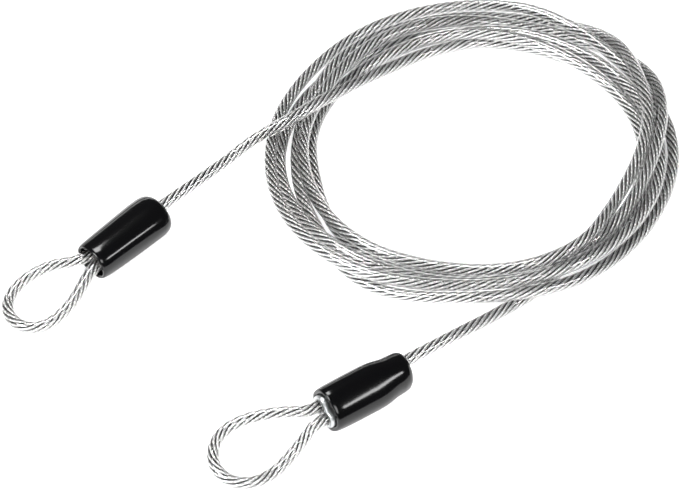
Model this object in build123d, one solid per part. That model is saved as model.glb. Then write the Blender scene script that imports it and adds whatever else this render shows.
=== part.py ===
"""Double-loop security cable: clear-jacketed wire rope in a loose coil, an eye, ferrule and cap at each end.

Units are millimetres and +Z is up. The origin is the middle of the plan at the surface that the cable lies on.
"""
from build123d import *
import os
from math import cos, radians, sin, tan

# ---- driving dimensions ----
rope_d = 2.4                 # bare 7x7 wire rope
jacket_d = 4.0               # over the clear jacket
leg_gap = 4.2                # between the two legs of an eye, centre to centre, inside a ferrule

ferrule_width = 10.2         # oval sleeve, across both legs
ferrule_height = 6.8
ferrule_length = 18.0
crimp_depth = 0.45           # the press leaves shallow valleys across both flat sides
crimp_pitch = 5.2
crimp_count = 3
tail_stub = 1.5              # cut end standing out behind the ferrule

cap_length = 28.8
cap_wall = 1.05
cap_cavity_length = 25.5
nub_d = 5.8                  # lip of the cap around the cable
nub_length = 0.5
bore_clearance = 0.08        # radial, cap bore on the cable

coil_centre = (39.4, 32.87)
coil_half_x = 65.5           # outside of the lying coil
coil_half_y = 68.0
coil_hole_r = 49.0
coil_hole_centre = (39.4, 29.37)
coil_height = 8.0            # two layers of cable
coil_edge_r = 3.2

# Each end has its own frame: X runs from the mouth of the cap towards the coil, Y across the two legs.
# depth: how far the ferrule sits inside the mouth.
# cap: (distance from the mouth, half width, half height, sideways) of the cap's outside.
end_a = {
    "mouth": (-78.75, -18.43, 5.9), "azimuth": 44.5, "pitch": 0.0, "roll": 0.0, "depth": 5.0,
    "cap": [(0, 6.4, 5.2, 0), (3, 7.0, 5.8, 0), (9, 7.1, 5.9, 0), (22, 7.1, 5.9, 0), (25, 6.95, 5.75, 0),
            (27, 6.3, 5.2, 0.3), (28.2, 5.4, 4.4, 0.8), (28.8, 4.4, 3.6, 1.2)],
}
end_b = {
    "mouth": (-7.15, -76.98, 7.35), "azimuth": 35.8, "pitch": 3.0, "roll": 35.0, "depth": -1.2,
    "cap": [(0, 6.5, 5.6, 0), (3, 7.0, 6.1, 0), (16, 7.1, 6.1, 0), (20, 6.7, 5.95, 0), (23, 6.2, 5.8, 0),
            (26.5, 6.05, 5.6, 0.1), (28.1, 5.2, 4.8, 0.6), (28.8, 4.3, 3.9, 1.1)],
}

# Eyes: points of the route from leg to leg, as (distance out of the mouth, side, height above the floor).
eye_points_a = [
    (3.4, 3.8, 5.6), (8.4, 7.9, 4.9), (14.5, 10.1, 3.9), (21.0, 10.2, 2.9), (26.8, 7.8, 2.2),
    (29.9, 2.4, 2.0), (29.0, -4.0, 2.0), (23.3, -8.0, 2.4), (16.0, -7.7, 3.3), (9.5, -5.7, 4.3),
    (4.0, -3.3, 5.2),
]
eye_points_b = [
    (9.3, 5.0, 8.8), (15.0, 8.4, 8.4), (20.9, 11.2, 7.5), (27.6, 12.2, 6.2), (32.9, 9.8, 4.6),
    (36.0, 4.4, 3.2), (34.4, -2.2, 2.2), (28.8, -6.2, 2.0), (21.6, -6.2, 2.1), (14.2, -4.2, 3.0),
    (8.7, -2.4, 4.6),
]
eye_straight = 4.2           # the legs leave the ferrule straight for this far

# Leads: end A crosses over the coil and settles along its inside, end B runs in underneath.
lead_straight_a = 58.5       # from the mouth of the cap, straight along the end's own axis
lead_points_a = [
    (-25.7, 34.2, 9.6), (-12.7, 43.9, 10.6), (0.0, 54.8, 9.6), (10.3, 65.1, 6.6), (20.8, 73.6, 4.4),
    (32.6, 80.4, 3.0),
]
lead_straight_b = 48.0
lead_points_b = [(39.65, -40.0, 3.5), (48.75, -32.4, 2.2), (58.8, -23.6, 2.1)]

nodes = {}


def end_frame(end):
    """Location of an end's own frame."""
    turn = Rot(0, 0, end["azimuth"]) * Rot(0, end["pitch"], 0) * Rot(end["roll"], 0, 0)
    return Pos(*end["mouth"]) * turn


def place(end, x, y, z=0.0):
    """World point of a point in an end's own frame."""
    return (end_frame(end) * Pos(x, y, z)).position


def out_of_mouth(end, distance, side, height):
    """World point given on plan from the mouth, away from the coil, at a height above the floor."""
    a = radians(end["azimuth"])
    mx, my, _ = end["mouth"]
    return Vector(mx - distance * cos(a) - side * sin(a), my - distance * sin(a) + side * cos(a), height)


def corner_radii(points, name):
    """Largest tangent arc that each corner's two runs leave room for."""
    radii = []
    for before, here, after in zip(points, points[1:], points[2:]):
        run_in, run_out = here - before, after - here
        turn = radians(run_in.get_angle(run_out))
        radii.append(0.45 * min(run_in.length, run_out.length) / tan(turn / 2))
    print(name, "radii", [round(r, 1) for r in radii])
    return radii


def along(points, name):
    """The wire of straight runs and tangent arcs through a route."""
    points = [Vector(*p) for p in points]
    return Wire(FilletPolyline(*points, radius=corner_radii(points, name)).edges())


def tube(wire, outer, inner=0.0):
    """A round section carried along a wire."""
    start = Plane(origin=wire @ 0, z_dir=wire % 0)
    section = Circle(outer / 2)
    if inner:
        section -= Circle(inner / 2)
    solid = sweep(start * section, path=wire)
    area = 3.14159265 * (outer ** 2 - inner ** 2) / 4
    print("   volume over section times length", round(solid.volume / (area * wire.length), 4))
    return solid


def rod(end, x0, x1, y, outer, inner=0.0):
    """A straight piece of rope or jacket along an end's own X."""
    section = Circle(outer / 2)
    if inner:
        section -= Circle(inner / 2)
    start = Plane(origin=(x0, y, 0), x_dir=(0, 1, 0), z_dir=(1, 0, 0))
    return end_frame(end) * extrude(start * section, x1 - x0)


def rope_and_jacket(name, wire):
    """The steel and its jacket along one free stretch of the cable."""
    nodes["wire_rope_" + name] = tube(wire, rope_d)
    nodes["jacket_" + name] = tube(wire, jacket_d, rope_d)
    print(name, "length", round(wire.length, 1))


def crimped(name, end):
    """The two legs gripped by a ferrule, with the cut tail standing out behind."""
    x0 = end["depth"]
    x1 = x0 + ferrule_length
    for kind, outer, inner in (("wire_rope_", rope_d, 0.0), ("jacket_", jacket_d, rope_d)):
        standing = rod(end, x0, x1, leg_gap / 2, outer, inner)
        tail = rod(end, x0, x1 + tail_stub, -leg_gap / 2, outer, inner)
        nodes[kind + name] = Compound(children=[standing, tail])


def oval_section(x, half_y, half_z, y=0.0):
    """An ellipse across an end's own X."""
    return Plane(origin=(x, y, 0), x_dir=(0, 1, 0), z_dir=(1, 0, 0)) * Ellipse(half_y, half_z)


def ferrule(end):
    """Oval aluminium sleeve with an obround bore and the valleys left by the press."""
    x0 = end["depth"]
    mouth = Plane(origin=(x0, 0, 0), x_dir=(0, 1, 0), z_dir=(1, 0, 0))
    outline = RectangleRounded(ferrule_width, ferrule_height, ferrule_height / 2 - 0.05)
    body = extrude(mouth * outline, ferrule_length)
    press_r = 3.0
    for n in range(crimp_count):
        x = x0 + ferrule_length / 2 + (n - (crimp_count - 1) / 2) * crimp_pitch
        for side in (-1, 1):
            z = side * (ferrule_height / 2 + press_r - crimp_depth)
            body -= Pos(x, 0, z) * Rot(90, 0, 0) * Cylinder(press_r, ferrule_width + 2)
    body -= extrude(mouth * SlotOverall(leg_gap + jacket_d, jacket_d), ferrule_length)
    return end_frame(end) * body


def cap(end):
    """Soft cap: oval and open at the mouth, closed round the cable at the other end."""
    outside = loft([oval_section(*s) for s in end["cap"]], ruled=True)
    hollow = [(x, y - cap_wall, z - cap_wall) for x, y, z, _ in end["cap"] if x < cap_cavity_length - 1]
    last = hollow[-1]
    hollow.append((cap_cavity_length, last[1] - 0.6, last[2] - 0.6))
    inside = loft([oval_section(*s) for s in hollow], ruled=True)
    side = leg_gap / 2
    nub_start = Plane(origin=(cap_length - 2.5, side, 0), x_dir=(0, 1, 0), z_dir=(1, 0, 0))
    nub = extrude(nub_start * Circle(nub_d / 2), 2.5 + nub_length)
    nub = fillet(nub.edges().sort_by(Axis.X)[-1], 0.3)
    bore_start = Plane(origin=(cap_cavity_length - 2, side, 0), x_dir=(0, 1, 0), z_dir=(1, 0, 0))
    bore = extrude(bore_start * Circle(jacket_d / 2 + bore_clearance), cap_length - cap_cavity_length + 6)
    return end_frame(end) * (outside + nub - inside - bore)


def eye_wire(name, end, points):
    """From the standing leg, round the eye and back to the tail leg."""
    x0, y = end["depth"], leg_gap / 2
    first = [place(end, x0, y), place(end, x0 - eye_straight, y)]
    last = [place(end, x0 - eye_straight, -y), place(end, x0, -y)]
    return along(first + [out_of_mouth(end, *p) for p in points] + last, name)


def coil():
    """Outside of the lying coil: flat underneath, rounded edges."""
    ring = Pos(*coil_centre) * Ellipse(coil_half_x, coil_half_y) - Pos(*coil_hole_centre) * Circle(coil_hole_r)
    body = extrude(ring, coil_height)
    return fillet(body.edges().filter_by(GeomType.LINE, reverse=True), coil_edge_r)


rope_and_jacket("eye_a", eye_wire("eye_a", end_a, eye_points_a))
rope_and_jacket("eye_b", eye_wire("eye_b", end_b, eye_points_b))

behind_a = end_a["depth"] + ferrule_length
straight_a = [place(end_a, behind_a, leg_gap / 2), place(end_a, lead_straight_a, leg_gap / 2)]
rope_and_jacket("lead_a", along(straight_a + lead_points_a, "lead_a"))

behind_b = end_b["depth"] + ferrule_length
straight_b = [place(end_b, behind_b, leg_gap / 2), place(end_b, lead_straight_b, leg_gap / 2)]
rope_and_jacket("lead_b", along(straight_b + lead_points_b, "lead_b"))

for side, end in (("a", end_a), ("b", end_b)):
    crimped("crimped_" + side, end)
    nodes["ferrule_" + side] = ferrule(end)
    nodes["cap_" + side] = cap(end)
nodes["cable_coil"] = coil()

os.makedirs("parts", exist_ok=True)
for name, shape in nodes.items():
    export_step(shape, f"parts/{name}.step")

box = Compound(children=list(nodes.values())).bounding_box()
print("box", [round(v, 2) for v in (box.min.X, box.min.Y, box.min.Z, box.max.X, box.max.Y, box.max.Z)])
for end, name in ((end_a, "a"), (end_b, "b")):
    axis = place(end, 1, 0) - place(end, 0, 0)
    print("end", name, "axis", [round(v, 4) for v in (axis.X, axis.Y, axis.Z)])
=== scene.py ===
import math
import bmesh
import bpy
import numpy as np
from mathutils import Matrix, Vector


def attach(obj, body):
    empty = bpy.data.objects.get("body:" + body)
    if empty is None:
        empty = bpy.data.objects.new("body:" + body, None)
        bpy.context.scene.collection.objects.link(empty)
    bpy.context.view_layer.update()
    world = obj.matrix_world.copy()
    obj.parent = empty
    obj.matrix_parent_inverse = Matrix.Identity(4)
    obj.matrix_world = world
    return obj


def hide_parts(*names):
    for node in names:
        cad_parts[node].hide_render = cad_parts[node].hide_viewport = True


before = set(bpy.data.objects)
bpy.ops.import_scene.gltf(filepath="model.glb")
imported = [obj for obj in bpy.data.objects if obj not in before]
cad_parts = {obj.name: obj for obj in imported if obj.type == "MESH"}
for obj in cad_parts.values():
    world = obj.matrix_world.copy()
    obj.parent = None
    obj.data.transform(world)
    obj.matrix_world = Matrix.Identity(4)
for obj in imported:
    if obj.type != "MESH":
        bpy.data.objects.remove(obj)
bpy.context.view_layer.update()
mm = 0.001


def toLinear(hexColor):  # sRGB hex to the linear values a shader wants
    parts = [int(hexColor[i:i + 2], 16) / 255 for i in (1, 3, 5)]
    return [c / 12.92 if c <= 0.04045 else ((c + 0.055) / 1.055) ** 2.4 for c in parts] + [1.0]


def addNode(tree, kind, links=None, **settings):
    node = tree.nodes.new(kind)
    for name, value in settings.items():
        setattr(node, name, value)
    for socket, source in (links or {}).items():
        if hasattr(source, "links"):
            tree.links.new(source, node.inputs[socket])
        else:
            node.inputs[socket].default_value = source
    return node


def newMaterial(name, color, inputs):
    material = bpy.data.materials.new(name)
    material.use_nodes = True
    shader = material.node_tree.nodes["Principled BSDF"]
    shader.inputs["Base Color"].default_value = toLinear(color)
    for socket, value in inputs.items():
        shader.inputs[socket].default_value = value
    return material, material.node_tree, shader


def addToScene(name, data):
    thing = bpy.data.objects.new(name, data)
    bpy.context.collection.objects.link(thing)
    return thing


def meshFrom(name, bm):
    mesh = bpy.data.meshes.new(name)
    bm.to_mesh(mesh)
    bm.free()
    return mesh


def placePiece(name, mesh, material, body):
    mesh.polygons.foreach_set("use_smooth", [True] * len(mesh.polygons))
    mesh.materials.append(material)
    piece = addToScene(name, mesh)
    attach(piece, body)
    return piece


def makeRopeSteel():
    # Galvanised carbon steel wire, drawn and laid into a rope: bright crowns, painted shade that
    # goes near-black between the strands, and painted shade between the wires, so that each wire
    # shows as a dash. The wires are coarser and deeper than real ones, so that they show.
    look = {"crown": "#F4F4F4", "grooveShade": "#0E0F10", "metallic": 0.9, "roughness": 0.24,
            "darkTo": 0.42, "brightFrom": 0.88,  # of the way out from the groove to the crown
            "wireEdge": -1.0, "wireTop": 0.3, "wireGapShade": 0.5, "strength": 0.6, "relief": 0.12}
    material, tree, shader = newMaterial(
        "galvanisedWireRope", look["crown"],
        {"Metallic": look["metallic"], "Roughness": look["roughness"]})
    uv = addNode(tree, "ShaderNodeUVMap", uv_map="wires")
    split = addNode(tree, "ShaderNodeSeparateXYZ", {"Vector": uv.outputs["UV"]})
    turn = addNode(tree, "ShaderNodeMath", {0: split.outputs["X"], 1: 2 * math.pi},
                   operation="MULTIPLY")
    wave = addNode(tree, "ShaderNodeMath", {0: turn.outputs[0]}, operation="COSINE")
    wire = addNode(tree, "ShaderNodeMapRange", {
        "Value": wave.outputs[0], "From Min": look["wireEdge"], "From Max": look["wireTop"]})
    depth = addNode(tree, "ShaderNodeAttribute", attribute_name="crown")
    # painted shade: the colour darkens from the crowns down to near-black deep in the grooves
    shade = addNode(tree, "ShaderNodeMapRange", {
        "Value": depth.outputs["Fac"], "From Min": look["darkTo"], "From Max": look["brightFrom"]})
    # painted shade between the wires: the colour darkens to half where one wire meets the next
    wireShade = addNode(tree, "ShaderNodeMapRange", {
        "Value": wire.outputs[0], "To Min": look["wireGapShade"], "To Max": 1.0})
    both = addNode(tree, "ShaderNodeMath", {0: shade.outputs[0], 1: wireShade.outputs[0]},
                   operation="MULTIPLY")
    # painted shade near-black in the grooves between the strands, the steel's own colour on the
    # crowns
    mix = addNode(tree, "ShaderNodeMix", {
        0: both.outputs[0], 6: toLinear(look["grooveShade"]), 7: toLinear(look["crown"])},
        data_type="RGBA")
    tree.links.new(mix.outputs[2], shader.inputs["Base Color"])
    bump = addNode(tree, "ShaderNodeBump", {
        "Height": wire.outputs[0], "Strength": look["strength"], "Distance": look["relief"] * mm})
    tree.links.new(bump.outputs[0], shader.inputs["Normal"])
    return material


def makeJacketVinyl():
    # Extruded clear soft PVC: glossy and water-clear. It bends what is seen through it, so that the
    # rope fills its width.
    look = {"color": "#FDFDFC", "roughness": 0.03, "ior": 1.53}
    return newMaterial("extrudedClearVinyl", look["color"], {
        "Roughness": look["roughness"], "IOR": look["ior"], "Transmission Weight": 1.0})[0]


def makeSleeveAluminium():
    # Plain soft aluminium, pressed: satin grey, faintly mottled about every 1.1 mm, which is 900
    # times in a metre.
    look = {"color": "#B2B4B5", "roughness": 0.36, "smoothest": 0.28, "roughest": 0.46,
            "grain": 900.0, "detail": 3.0, "strength": 0.35, "relief": 0.1}
    material, tree, shader = newMaterial(
        "pressedAluminium", look["color"], {"Metallic": 1.0, "Roughness": look["roughness"]})
    place = addNode(tree, "ShaderNodeTexCoord")
    grain = addNode(tree, "ShaderNodeTexNoise", {
        "Vector": place.outputs["Object"], "Scale": look["grain"], "Detail": look["detail"]})
    rough = addNode(tree, "ShaderNodeMapRange", {
        "Value": grain.outputs[0], "To Min": look["smoothest"], "To Max": look["roughest"]})
    tree.links.new(rough.outputs[0], shader.inputs["Roughness"])
    bump = addNode(tree, "ShaderNodeBump", {
        "Height": grain.outputs[0], "Strength": look["strength"], "Distance": look["relief"] * mm})
    tree.links.new(bump.outputs[0], shader.inputs["Normal"])
    return material


def makeCapVinyl():
    # Dip-moulded black soft PVC: deep black and glossy. Its uneven skin waves about every 6 mm,
    # which is 160 times in a metre.
    look = {"color": "#040405", "roughness": 0.13, "ior": 1.5, "specular": 0.29,
            "waves": 160.0, "detail": 2.0, "strength": 0.12, "relief": 0.3}
    material, tree, shader = newMaterial("dippedBlackVinyl", look["color"], {
        "Roughness": look["roughness"], "IOR": look["ior"],
        "Specular IOR Level": look["specular"]})
    place = addNode(tree, "ShaderNodeTexCoord")
    skin = addNode(tree, "ShaderNodeTexNoise", {
        "Vector": place.outputs["Object"], "Scale": look["waves"], "Detail": look["detail"]})
    bump = addNode(tree, "ShaderNodeBump", {
        "Height": skin.outputs[0], "Strength": look["strength"], "Distance": look["relief"] * mm})
    tree.links.new(bump.outputs[0], shader.inputs["Normal"])
    return material


ropeSteel, jacketVinyl = makeRopeSteel(), makeJacketVinyl()
sleeveAluminium, capVinyl = makeSleeveAluminium(), makeCapVinyl()
print("materials made")


# Each end has its own frame: X from the mouth of the cap towards the coil, Y across the two legs.
# Its sleeve starts at depth, and its cable lies straight as far as the distances in straight.
ends = {
    "A": {"mouth": (-78.75, -18.43, 5.9), "azimuth": 44.5, "pitch": 0.0, "roll": 0.0, "depth": 5.0,
          "straight": [42.0, 58.5]},
    "B": {"mouth": (-7.15, -76.98, 7.35), "azimuth": 35.8, "pitch": 3.0, "roll": 35.0,
          "depth": -1.2, "straight": [34.0, 48.0]},
}


def endFrame(end):
    turn = Matrix.Rotation(math.radians(end["azimuth"]), 4, "Z")
    turn = turn @ Matrix.Rotation(math.radians(end["pitch"]), 4, "Y")
    roll = Matrix.Rotation(math.radians(end["roll"]), 4, "X")
    return Matrix.Translation(end["mouth"]) @ turn @ roll


def endPoint(end, x, y):
    return tuple(endFrame(end) @ Vector((x, y, 0)))


def eyePoint(end, away, side, height):
    a = math.radians(end["azimuth"])
    mx, my, _ = end["mouth"]
    return (mx - away * math.cos(a) - side * math.sin(a),
            my - away * math.sin(a) + side * math.cos(a), height)


# Angle gone round, distance from the middle and height, in degrees and mm, one list for each turn.
coil = {
    "middle": (38.4, 32.87), "diameter": 4.0, "step": 5.0,
    "rounds": 250, "lastRounds": 40,  # of settling; the last ones only ease the line
    "spread": 0.2, "keep": 0.997, "ease": 0.1, "easeEvery": 4,
    "touch": 1.01, "neighbours": 7, "held": 3,  # points nearer along the cable don't push
    "turns": [
        [(279, 66.1, 2.1), (290, 60.6, 2.1), (301, 56.0, 2.1), (314, 54.5, 2), (335, 55.4, 2),
         (352, 56.2, 2)],
        [(368, 56.4, 2), (387, 55.6, 2.5), (405, 52.2, 5), (426, 50.8, 5.8), (448, 49.8, 5.8),
         (470, 49.3, 4), (490, 49.7, 2.2), (511, 50.5, 2), (537, 51.5, 2), (551, 50.9, 2),
         (561, 52.1, 2), (585, 56.6, 2), (604, 57.6, 2), (613, 56.8, 2), (630, 55.6, 2),
         (646, 57.0, 4.5), (662, 57.2, 6.2), (675, 56.2, 6.2), (693, 55.5, 8), (707, 56.1, 9)],
        [(722, 58.8, 9.5), (732, 62.1, 8.5), (744, 66.2, 6), (753, 68.2, 3), (776, 64.2, 2),
         (798, 61.5, 2), (808, 60.0, 3), (819, 57.3, 5), (836, 55.2, 6), (853, 53.6, 6),
         (870, 52.9, 6), (895, 54.1, 5.5), (920, 55.2, 6), (938, 56.4, 6), (952, 56.9, 6),
         (965, 55.8, 5.5), (988, 55.5, 5.5), (1002, 58.2, 8), (1016, 59.0, 9.8), (1026, 58.2, 9.6),
         (1037, 55.6, 8.6), (1046, 52.8, 6), (1058, 52.8, 7), (1071, 55.0, 9)],
        [(1081, 57.0, 9.5), (1092, 59.4, 9.5), (1102, 59.8, 9.5), (1110, 62.4, 9), (1120, 65.6, 7),
         (1129, 67.6, 4), (1143, 64.8, 2), (1162, 61.0, 2), (1200, 57.0, 2), (1230, 54.5, 2),
         (1259, 55.4, 2), (1281, 58.2, 2), (1297, 60.8, 2), (1314, 66.4, 2), (1328, 66.4, 2.2),
         (1338, 65.2, 5), (1358, 65.3, 6), (1378, 64.0, 3.2), (1399, 63.2, 2), (1419, 63.6, 2)],
        [(1439, 65.2, 2), (1482, 63.3, 2.5), (1498, 63.9, 2), (1513, 65.4, 2), (1528, 64.9, 2),
         (1554, 63.7, 2), (1591, 61.2, 2), (1607, 61.4, 3), (1629, 63.8, 5), (1643, 66.2, 5.5),
         (1657, 67.1, 5.5), (1671, 67.3, 5.5), (1689, 64.9, 5.5), (1699, 63.4, 5.5),
         (1717, 62.0, 6), (1730, 62.2, 7.6), (1742, 62.0, 7.4), (1756, 61.2, 6), (1781, 60.7, 5.5)],
        [(1795, 60.2, 5.5), (1825, 57.1, 5), (1851, 54.9, 5.3), (1867, 54.0, 5.5),
         (1888, 55.0, 3.2), (1920, 54.6, 2), (1961, 57.0, 2), (1976, 60.5, 2), (2001, 61.7, 2),
         (2029, 62.0, 5), (2053, 59.2, 3), (2077, 58.6, 2.8), (2090, 59.6, 4.2), (2100, 60.2, 3.6),
         (2112, 59.6, 2.8), (2130, 58.8, 2)],
        [(2160, 59.2, 2), (2187, 58.5, 2), (2205, 54.0, 2), (2226, 51.8, 2), (2248, 50.3, 2),
         (2270, 45.8, 2.5), (2281, 43.8, 3.5), (2293, 43.2, 5), (2306, 44.1, 7), (2319, 47.5, 9),
         (2330, 53.2, 10.3), (2335, 57.0, 10.3), (2338, 62.4, 9.5), (2341, 68.7, 8)],
    ],
}


def throughKeys(at, keys, values):  # smooth curve through the keys of one coordinate
    gaps = np.diff(keys)
    slopes = np.diff(values) / gaps
    between = (slopes[:-1] * gaps[1:] + slopes[1:] * gaps[:-1]) / (gaps[1:] + gaps[:-1])
    lean = np.concatenate([[slopes[0]], between, [slopes[-1]]])
    i = np.clip(np.searchsorted(keys, at, side="right") - 1, 0, len(keys) - 2)
    u, g = (at - keys[i]) / gaps[i], gaps[i]
    return ((2 * u ** 3 - 3 * u ** 2 + 1) * values[i] + (u ** 3 - 2 * u ** 2 + u) * g * lean[i]
            + (3 * u ** 2 - 2 * u ** 3) * values[i + 1] + (u ** 3 - u ** 2) * g * lean[i + 1])


def layTurns(lay):
    keys = np.array([key for turn in lay["turns"] for key in turn], float)
    first, last = keys[0, 0], keys[-1, 0]
    at = np.linspace(first, last, int((last - first) / lay["step"]) + 1)
    out, height = (throughKeys(at, keys[:, 0], keys[:, k]) for k in (1, 2))
    angle, (x, y) = np.radians(at), lay["middle"]
    return np.stack([x + out * np.cos(angle), y + out * np.sin(angle), height], 1)


def easeLine(line, share, held):  # each point leans towards its two neighbours, the ends stay
    eased = line.copy()
    eased[1:-1] = (1 - 2 * share) * line[1:-1] + share * (line[:-2] + line[2:])
    eased[:held], eased[-held:] = line[:held], line[-held:]
    return eased


def settleTurns(lay, line):  # crossing turns push each other apart until they only touch
    laid, held, reach = line.copy(), lay["held"], lay["touch"] * lay["diameter"]
    number = np.arange(len(line))
    apart = np.abs(number[:, None] - number[None, :-1]) > lay["neighbours"]
    for n in range(lay["rounds"]):
        start, run = line[:-1], line[1:] - line[:-1]
        off = line[:, None] - start[None]
        u = np.clip((off * run[None]).sum(2) / (run ** 2).sum(1)[None], 0, 1)
        away = off - u[..., None] * run[None]
        gap = np.maximum(np.sqrt((away ** 2).sum(2)), 1e-3)
        hit = apart & (gap < reach)
        half = (reach - gap) / gap * 0.5  # both of the two that touch move half the way
        push = (away * np.where(hit, half, 0)[..., None]).sum(1)
        push /= np.clip(hit.sum(1), 1, 2)[:, None]
        push[:held] = push[-held:] = 0
        line = line + push
        if n < lay["rounds"] - lay["lastRounds"]:  # share each push along the cable, it is stiff
            line = laid + easeLine(line - laid, lay["spread"], held) * lay["keep"]
        elif n % lay["easeEvery"] == 0:
            line = easeLine(line, lay["ease"], held)
        line[:, 2] = np.maximum(line[:, 2], lay["diameter"] / 2)
    return line


turns = settleTurns(coil, layTurns(coil))
print("coil settled,", len(turns), "points")


cable = {
    "jacket": 4.0, "roundness": 6, "legGap": 4.2,
    "coilSpan": 4, "eyeSpan": 10,  # steps of the smooth line from one point to the next
    "rope": 2.4, "strand": 0.8, "strands": 6, "lay": 19.5,  # a strand goes round once in 19.5 mm
    "wireLay": 6.0, "wires": 6, "around": (-115, -80, -48, -16, 16, 48, 80, 115), "ropeStep": 1.2,
    "grooveFloor": 0.87,  # of the distance of a strand's middle from the rope's
    "beside": 4.2,  # the legs stay straight this far out of the sleeve
    "leadB": (39.65, -40.0, 3.5),  # where lead B bends, between the coil and its straight part
}
sleeve = {
    "halfWide": 5.1, "halfHigh": 3.4, "length": 18.0, "bore": (4.1, 2.0), "segments": 96,
    "edge": [(0, 0.5), (0.15, 0.15), (0.5, 0)],  # how far in from the face, how much smaller
    "crimp": [(-2.2, 0), (-1.2, 0.3), (0, 0.45), (1.2, 0.3), (2.2, 0)],  # along and deep
    "crimps": (-5.2, 0.0, 5.2), "waist": 0.28, "waistWide": 1.5,
}
# Points of each eye: away from the mouth, to the side, and height.
eyes = {
    "A": [(3.4, 3.8, 5.6), (8.4, 7.9, 4.9), (14.5, 10.1, 3.9), (21.0, 10.2, 2.9), (26.8, 7.8, 2.2),
          (29.9, 2.4, 2.0), (29.0, -4.0, 2.0), (23.3, -8.0, 2.4), (16.0, -7.7, 3.3),
          (9.5, -5.7, 4.3), (4.0, -3.3, 5.2)],
    "B": [(9.3, 5.0, 8.8), (15.0, 8.4, 8.4), (20.9, 11.2, 7.5), (27.6, 12.2, 6.2),
          (32.9, 9.8, 4.6), (36.0, 4.4, 3.2), (34.4, -2.2, 2.2), (28.8, -6.2, 2.0),
          (21.6, -6.2, 2.1), (14.2, -4.2, 3.0), (8.7, -2.4, 4.6)],
}


def jacketCurve(name, points, perSpan):
    curve = bpy.data.curves.new(name, "CURVE")
    curve.dimensions = "3D"
    spline = curve.splines.new("NURBS")
    spline.points.add(len(points) - 1)
    for target, p in zip(spline.points, points):
        target.co = (p[0] * mm, p[1] * mm, p[2] * mm, 1.0)
    spline.order_u = 3
    spline.use_endpoint_u = True
    spline.resolution_u = perSpan
    curve.resolution_u = perSpan
    piece = addToScene(name, curve)
    bare = bpy.data.meshes.new_from_object(piece)  # the line itself, before it gets its thickness
    line = np.array([v.co for v in bare.vertices])
    bpy.data.meshes.remove(bare)
    curve.bevel_depth = cable["jacket"] / 2 * mm
    curve.bevel_resolution = cable["roundness"]
    curve.use_fill_caps = True
    curve.materials.append(jacketVinyl)
    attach(piece, "cable")
    return piece, line


def evenly(line, step):  # the same line with evenly spaced points
    gone = np.concatenate([[0], np.cumsum(np.linalg.norm(np.diff(line, axis=0), axis=1))])
    at = np.linspace(0, gone[-1], max(int(gone[-1] / step), 2) + 1)
    return np.stack([np.interp(at, gone, line[:, k]) for k in range(3)], 1), at


def ropeShape():  # outline of the laid strands, and how far round its own strand each point is
    r, seat = cable["strand"] / 2, (cable["rope"] - cable["strand"]) / 2
    outline, local = [], []
    for n in range(cable["strands"]):
        a = 2 * math.pi * n / cable["strands"]
        for degrees in cable["around"]:
            b = a + math.radians(degrees)
            outline.append((seat * math.cos(a) + r * math.cos(b),
                            seat * math.sin(a) + r * math.sin(b)))
            local.append(degrees)
    outline = np.array(outline)
    floor = cable["grooveFloor"] * seat
    crown = (np.linalg.norm(outline, axis=1) - floor) / (seat + r - floor)
    return outline, np.array(local, float), crown


def ropeMesh(name, line):
    points, gone = evenly(line, cable["ropeStep"] * mm)
    ahead = np.gradient(points, axis=0)
    ahead /= np.linalg.norm(ahead, axis=1)[:, None]
    side = np.cross((0, 0, 1.0), ahead)
    side /= np.linalg.norm(side, axis=1)[:, None]
    up = np.cross(ahead, side)
    outline, local, crown = ropeShape()
    turn = -2 * math.pi * gone / (cable["lay"] * mm)  # left-hand lay
    cos, sin = np.cos(turn)[:, None], np.sin(turn)[:, None]
    across = outline[None, :, 0] * cos - outline[None, :, 1] * sin
    high = outline[None, :, 0] * sin + outline[None, :, 1] * cos
    co = points[:, None] + (across[..., None] * side[:, None] + high[..., None] * up[:, None]) * mm
    co = np.concatenate([co, co[:, :1]], axis=1)  # closes on itself; the seam is merged below
    rows, columns = co.shape[:2]
    bm = bmesh.new()
    bmesh.ops.create_grid(bm, x_segments=columns - 1, y_segments=rows - 1, size=1)
    mesh = meshFrom(name, bm)
    flat = np.empty(len(mesh.vertices) * 3)
    mesh.vertices.foreach_get("co", flat)
    flat = flat.reshape(-1, 3)
    column = np.rint((flat[:, 0] + 1) / 2 * (columns - 1)).astype(int)
    row = np.rint((flat[:, 1] + 1) / 2 * (rows - 1)).astype(int)
    mesh.vertices.foreach_set("co", co[row, column].ravel())
    crownHere = np.append(crown, crown[0])[column]
    mesh.attributes.new("crown", "FLOAT", "POINT").data.foreach_set("value", crownHere)
    # one wire for each whole step of U, wound round its strand; V is the length in mm
    corner = np.empty(len(mesh.loops), int)
    mesh.loops.foreach_get("vertex_index", corner)
    faceColumn = column[corner].reshape(-1, 4).min(1).repeat(4)
    right = column[corner] > faceColumn
    first, last = local[faceColumn], np.roll(local, -1)[faceColumn]
    last = np.where(last < first, first, last)
    along = gone[row[corner]] / mm
    wirePhase = cable["wires"] * (np.where(right, last, first) / 360 - along / cable["wireLay"])
    uv = mesh.uv_layers.new(name="wires")
    uv.data.foreach_set("uv", np.stack([wirePhase, along], 1).ravel())
    bm = bmesh.new()
    bm.from_mesh(mesh)
    bmesh.ops.remove_doubles(bm, verts=bm.verts, dist=1e-6)
    bmesh.ops.holes_fill(bm, edges=[e for e in bm.edges if e.is_boundary])
    bmesh.ops.recalc_face_normals(bm, faces=bm.faces)
    bm.to_mesh(mesh)
    bm.free()
    return mesh


def makeCable(name, points, perSpan, hidden):
    jacket, line = jacketCurve("jacket" + name, points, perSpan)
    ropeName = "wireRope" + name
    rope = placePiece(ropeName, ropeMesh(ropeName, line), ropeSteel, "cable")
    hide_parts(*hidden)


def leadPoints(end):  # from the back of the sleeve towards the coil
    along = [end["depth"] + sleeve["length"]] + end["straight"]
    return [endPoint(end, x, cable["legGap"] / 2) for x in along]


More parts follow.
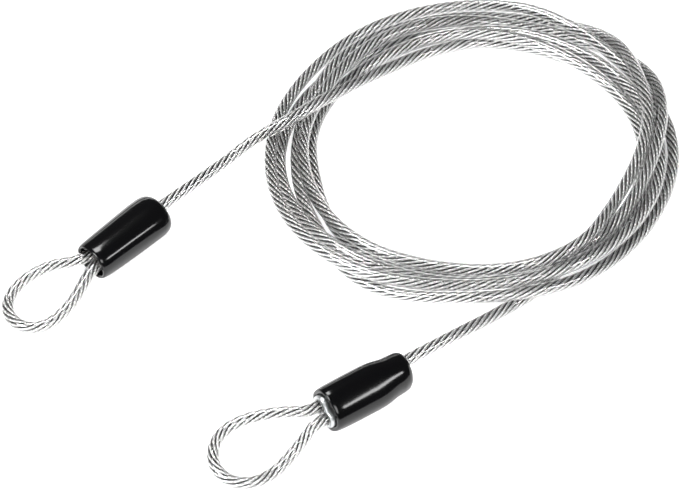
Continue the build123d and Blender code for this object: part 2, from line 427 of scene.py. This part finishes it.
mainLine = leadPoints(ends["A"]) + [tuple(p) for p in turns[::-1]]
mainLine += [cable["leadB"]] + leadPoints(ends["B"])[::-1]
makeCable("Coil", mainLine, cable["coilSpan"], [
    "jacket_lead_a", "wire_rope_lead_a", "jacket_lead_b", "wire_rope_lead_b", "cable_coil"])
for side, end in ends.items():
    leg, low = cable["legGap"] / 2, side.lower()
    fromFace = [end["depth"], end["depth"] - cable["beside"]]
    route = [endPoint(end, x, leg) for x in fromFace] + [eyePoint(end, *p) for p in eyes[side]]
    route += [endPoint(end, x, -leg) for x in fromFace[::-1]]
    makeCable("Eye" + side, route, cable["eyeSpan"], [f"jacket_eye_{low}", f"wire_rope_eye_{low}"])
print("cables made")


def followRing(before, edges):  # the new ring's vertices in the order of the ring they came from
    made = {v for e in edges for v in e.verts}
    return [next(e.other_vert(v) for e in v.link_edges if e.other_vert(v) in made) for v in before]


def ringShell(end, rings, segments, pressed=None):
    # rings: (along, half width, half height, sideways, power), along the outside and back through
    # the inside. A power below 1 fills out the flanks. A pressed piece goes round two legs.
    bm = bmesh.new()
    bmesh.ops.create_circle(bm, segments=segments, radius=1.0)
    unit = [v.co.copy() for v in bm.verts]
    verts, ring, place = list(bm.verts), list(bm.edges), endFrame(end)
    firstRing = ring
    for n, (along, halfWide, halfHigh, sideways, power) in enumerate(rings):
        if n:
            made = bmesh.ops.extrude_edge_only(bm, edges=ring)["geom"]
            before = set(verts)
            ring = [e for e in made if isinstance(e, bmesh.types.BMEdge)]
            ring = [e for e in ring if not before & set(e.verts)]
            verts = followRing(verts, ring)
        flat = halfWide - halfHigh if pressed else 0.0  # two half circles and the flats between
        for v, u in zip(verts, unit):
            x, y = (math.copysign(abs(c) ** power, c) for c in (u.x, u.y))
            wide, high = x * (halfWide - flat), y * halfHigh
            if pressed:  # and pinched between the legs
                wide += math.copysign(flat, x) * (abs(x) > 1e-6)
                high *= 1 - pressed["waist"] * math.exp(-(wide / pressed["waistWide"]) ** 2)
            v.co = (place @ Vector((along, sideways + wide, high))) * mm
    bmesh.ops.bridge_loops(bm, edges=firstRing + ring)
    bmesh.ops.recalc_face_normals(bm, faces=bm.faces)
    return bm


# Rings of each cap: distance from the mouth, half width, half height, sideways. The lip is
# measured from the far end of the outside, and the collar behind it holds the cable.
cap = {
    "outside": {
        "A": [(0, 6.05, 5.1, -0.35), (0.4, 6.3, 5.35, -0.35), (1.4, 6.55, 5.55, -0.32),
              (3, 6.72, 5.7, -0.28), (7, 6.95, 5.8, -0.1), (15, 7.3, 5.9, 0.35),
              (21, 7.55, 5.95, 0.75), (25, 7.7, 5.95, 0.95), (27, 7.4, 5.8, 1.05),
              (28.2, 6.7, 5.3, 1.1), (28.9, 5.8, 4.7, 1.2), (29.3, 4.9, 4.0, 1.3),
              (29.45, 4.0, 3.4, 1.4)],
        "B": [(0, 6.5, 5.6, 0), (0.4, 6.7, 5.8, 0), (1.4, 6.9, 6.0, 0), (3, 7.0, 6.08, 0),
              (8, 7.1, 6.1, 0), (15, 7.1, 6.1, 0), (17.5, 7.0, 6.05, 0), (20, 6.65, 5.95, 0),
              (22, 6.25, 5.8, 0), (24.5, 6.12, 5.7, 0), (26.6, 5.95, 5.55, 0.1),
              (27.8, 5.4, 5.0, 0.4), (28.5, 4.7, 4.3, 0.8), (28.8, 3.9, 3.6, 1.1)],
    },
    "lip": [(0.15, 2.9, 2.8), (0.4, 2.75, 2.7), (0.5, 2.5, 2.5)], "bore": 2.08, "collar": 25.6,
    "backOfRoom": [(25.4, 4.4, 4.0, 0.2), (22.5, 5.05, 4.7, 0), (18, 5.85, 4.8, 0)],
    "frontOfRoom": [(3, 5.55, 4.7), (0.6, 5.2, 4.25), (0.12, 5.4, 4.55), (0, 5.7, 4.9)],
    "fullness": {"A": 0.93, "B": 0.86}, "fullTo": 19.0, "roundFrom": 25.0, "segments": 64,
}


def capRings(side):
    y, lean = cable["legGap"] / 2, cap["outside"][side][0][3]
    tip, bore = cap["outside"][side][-1][0], cap["bore"]
    lip = [(tip + along, w, h, y) for along, w, h in cap["lip"]]
    lip += [(lip[-1][0], bore, bore, y), (cap["collar"], bore, bore, y)]
    front = [(*ring, lean) for ring in cap["frontOfRoom"]]
    rings = []
    for ring in cap["outside"][side] + lip + cap["backOfRoom"] + front:
        share = (cap["roundFrom"] - ring[0]) / (cap["roundFrom"] - cap["fullTo"])
        rings.append((*ring, 1 - (1 - cap["fullness"][side]) * min(max(share, 0), 1)))
    return rings


def sleeveRings(x0):
    w, h, length = sleeve["halfWide"], sleeve["halfHigh"], sleeve["length"]
    rings = [(x0 + x, w - less, h - less) for x, less in sleeve["edge"]]
    for middle in sleeve["crimps"]:
        c = x0 + length / 2 + middle
        rings += [(c + along, w, h - deep) for along, deep in sleeve["crimp"]]
    rings += [(x0 + length - x, w - less, h - less) for x, less in sleeve["edge"][::-1]]
    rings += [(x0 + length, *sleeve["bore"]), (x0, *sleeve["bore"])]
    return [(*ring, 0, 1.0) for ring in rings]


for side, end in ends.items():
    low = side.lower()
    shell = meshFrom("cap" + side, ringShell(end, capRings(side), cap["segments"]))
    piece = placePiece("cap" + side, shell, capVinyl, "cap_" + low)
    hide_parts("cap_" + low)
    rings = sleeveRings(end["depth"])
    shell = meshFrom("ferrule" + side, ringShell(end, rings, sleeve["segments"], pressed=sleeve))
    piece = placePiece("ferrule" + side, shell, sleeveAluminium, "cable")
    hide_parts("ferrule_" + low)
    for kind, material in (("jacket_crimped_", jacketVinyl), ("wire_rope_crimped_", ropeSteel)):
        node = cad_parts[kind + low]
        node.data.materials.clear()
        node.data.materials.append(material)
print("caps and sleeves made")


stage = {
    "floor": "#F4F4F4", "floorHalf": 3.0, "roughness": 0.6,
    "floorGlow": 0.76,  # the floor is a light table, so the shadows on it are faint
    "world": 0.12, "lens": 137.85, "distance": 800.0, "elevation": 48.0,
    "target": (-3.2, -6.43, 0), "clipStart": 0.01,
    # place, size and power of each soft box
    "boxes": {
        "streakBox": ((0.78, -0.3, 0.62), (0.32, 0.12), 2.6),
        "sideBox": ((-0.66, -0.42, 0.82), (0.45, 0.45), 18.0),
        "rimBox": ((-0.45, 1.0, 0.2), (1.2, 0.1), 1.6),
        "frontBox": ((0.25, -0.8, 0.75), (0.4, 0.4), 4.5),
        "topBox": ((-0.2, 0.35, 1.1), (0.4, 0.4), 10.0),
    },
}


# Matt white painted board, lit from below: pure white, with the faintest shadows.
white = (1, 1, 1, 1)
floorMaterial = newMaterial("paintedStudioFloor", stage["floor"], {
    "Roughness": stage["roughness"], "Emission Color": white,
    "Emission Strength": stage["floorGlow"]})[0]
bm = bmesh.new()
bmesh.ops.create_grid(bm, x_segments=1, y_segments=1, size=stage["floorHalf"])
floorMesh = meshFrom("studioFloor", bm)
floorMesh.materials.append(floorMaterial)
addToScene("studioFloor", floorMesh)

world = bpy.data.worlds.new("studio")
bpy.context.scene.world = world
world.use_nodes = True
background = world.node_tree.nodes["Background"]
background.inputs[0].default_value = white
background.inputs[1].default_value = stage["world"]

for name, (place, size, power) in stage["boxes"].items():
    lamp = bpy.data.lights.new(name, "AREA")
    lamp.shape = "RECTANGLE"
    lamp.size, lamp.size_y = size
    lamp.energy = power
    holder = addToScene(name, lamp)
    holder.location = place
    holder.rotation_euler = (-Vector(place)).to_track_quat("-Z", "Y").to_euler()

camera = addToScene("camera", bpy.data.cameras.new("camera"))
tilt = math.radians(stage["elevation"])
away = Vector((0, -math.cos(tilt), math.sin(tilt))) * stage["distance"] * mm
camera.location = Vector(stage["target"]) * mm + away
camera.rotation_euler = (math.pi / 2 - tilt, 0, 0)
camera.data.lens = stage["lens"]
camera.data.clip_start = stage["clipStart"]
bpy.context.scene.camera = camera
bpy.context.scene.view_settings.view_transform = "Standard"
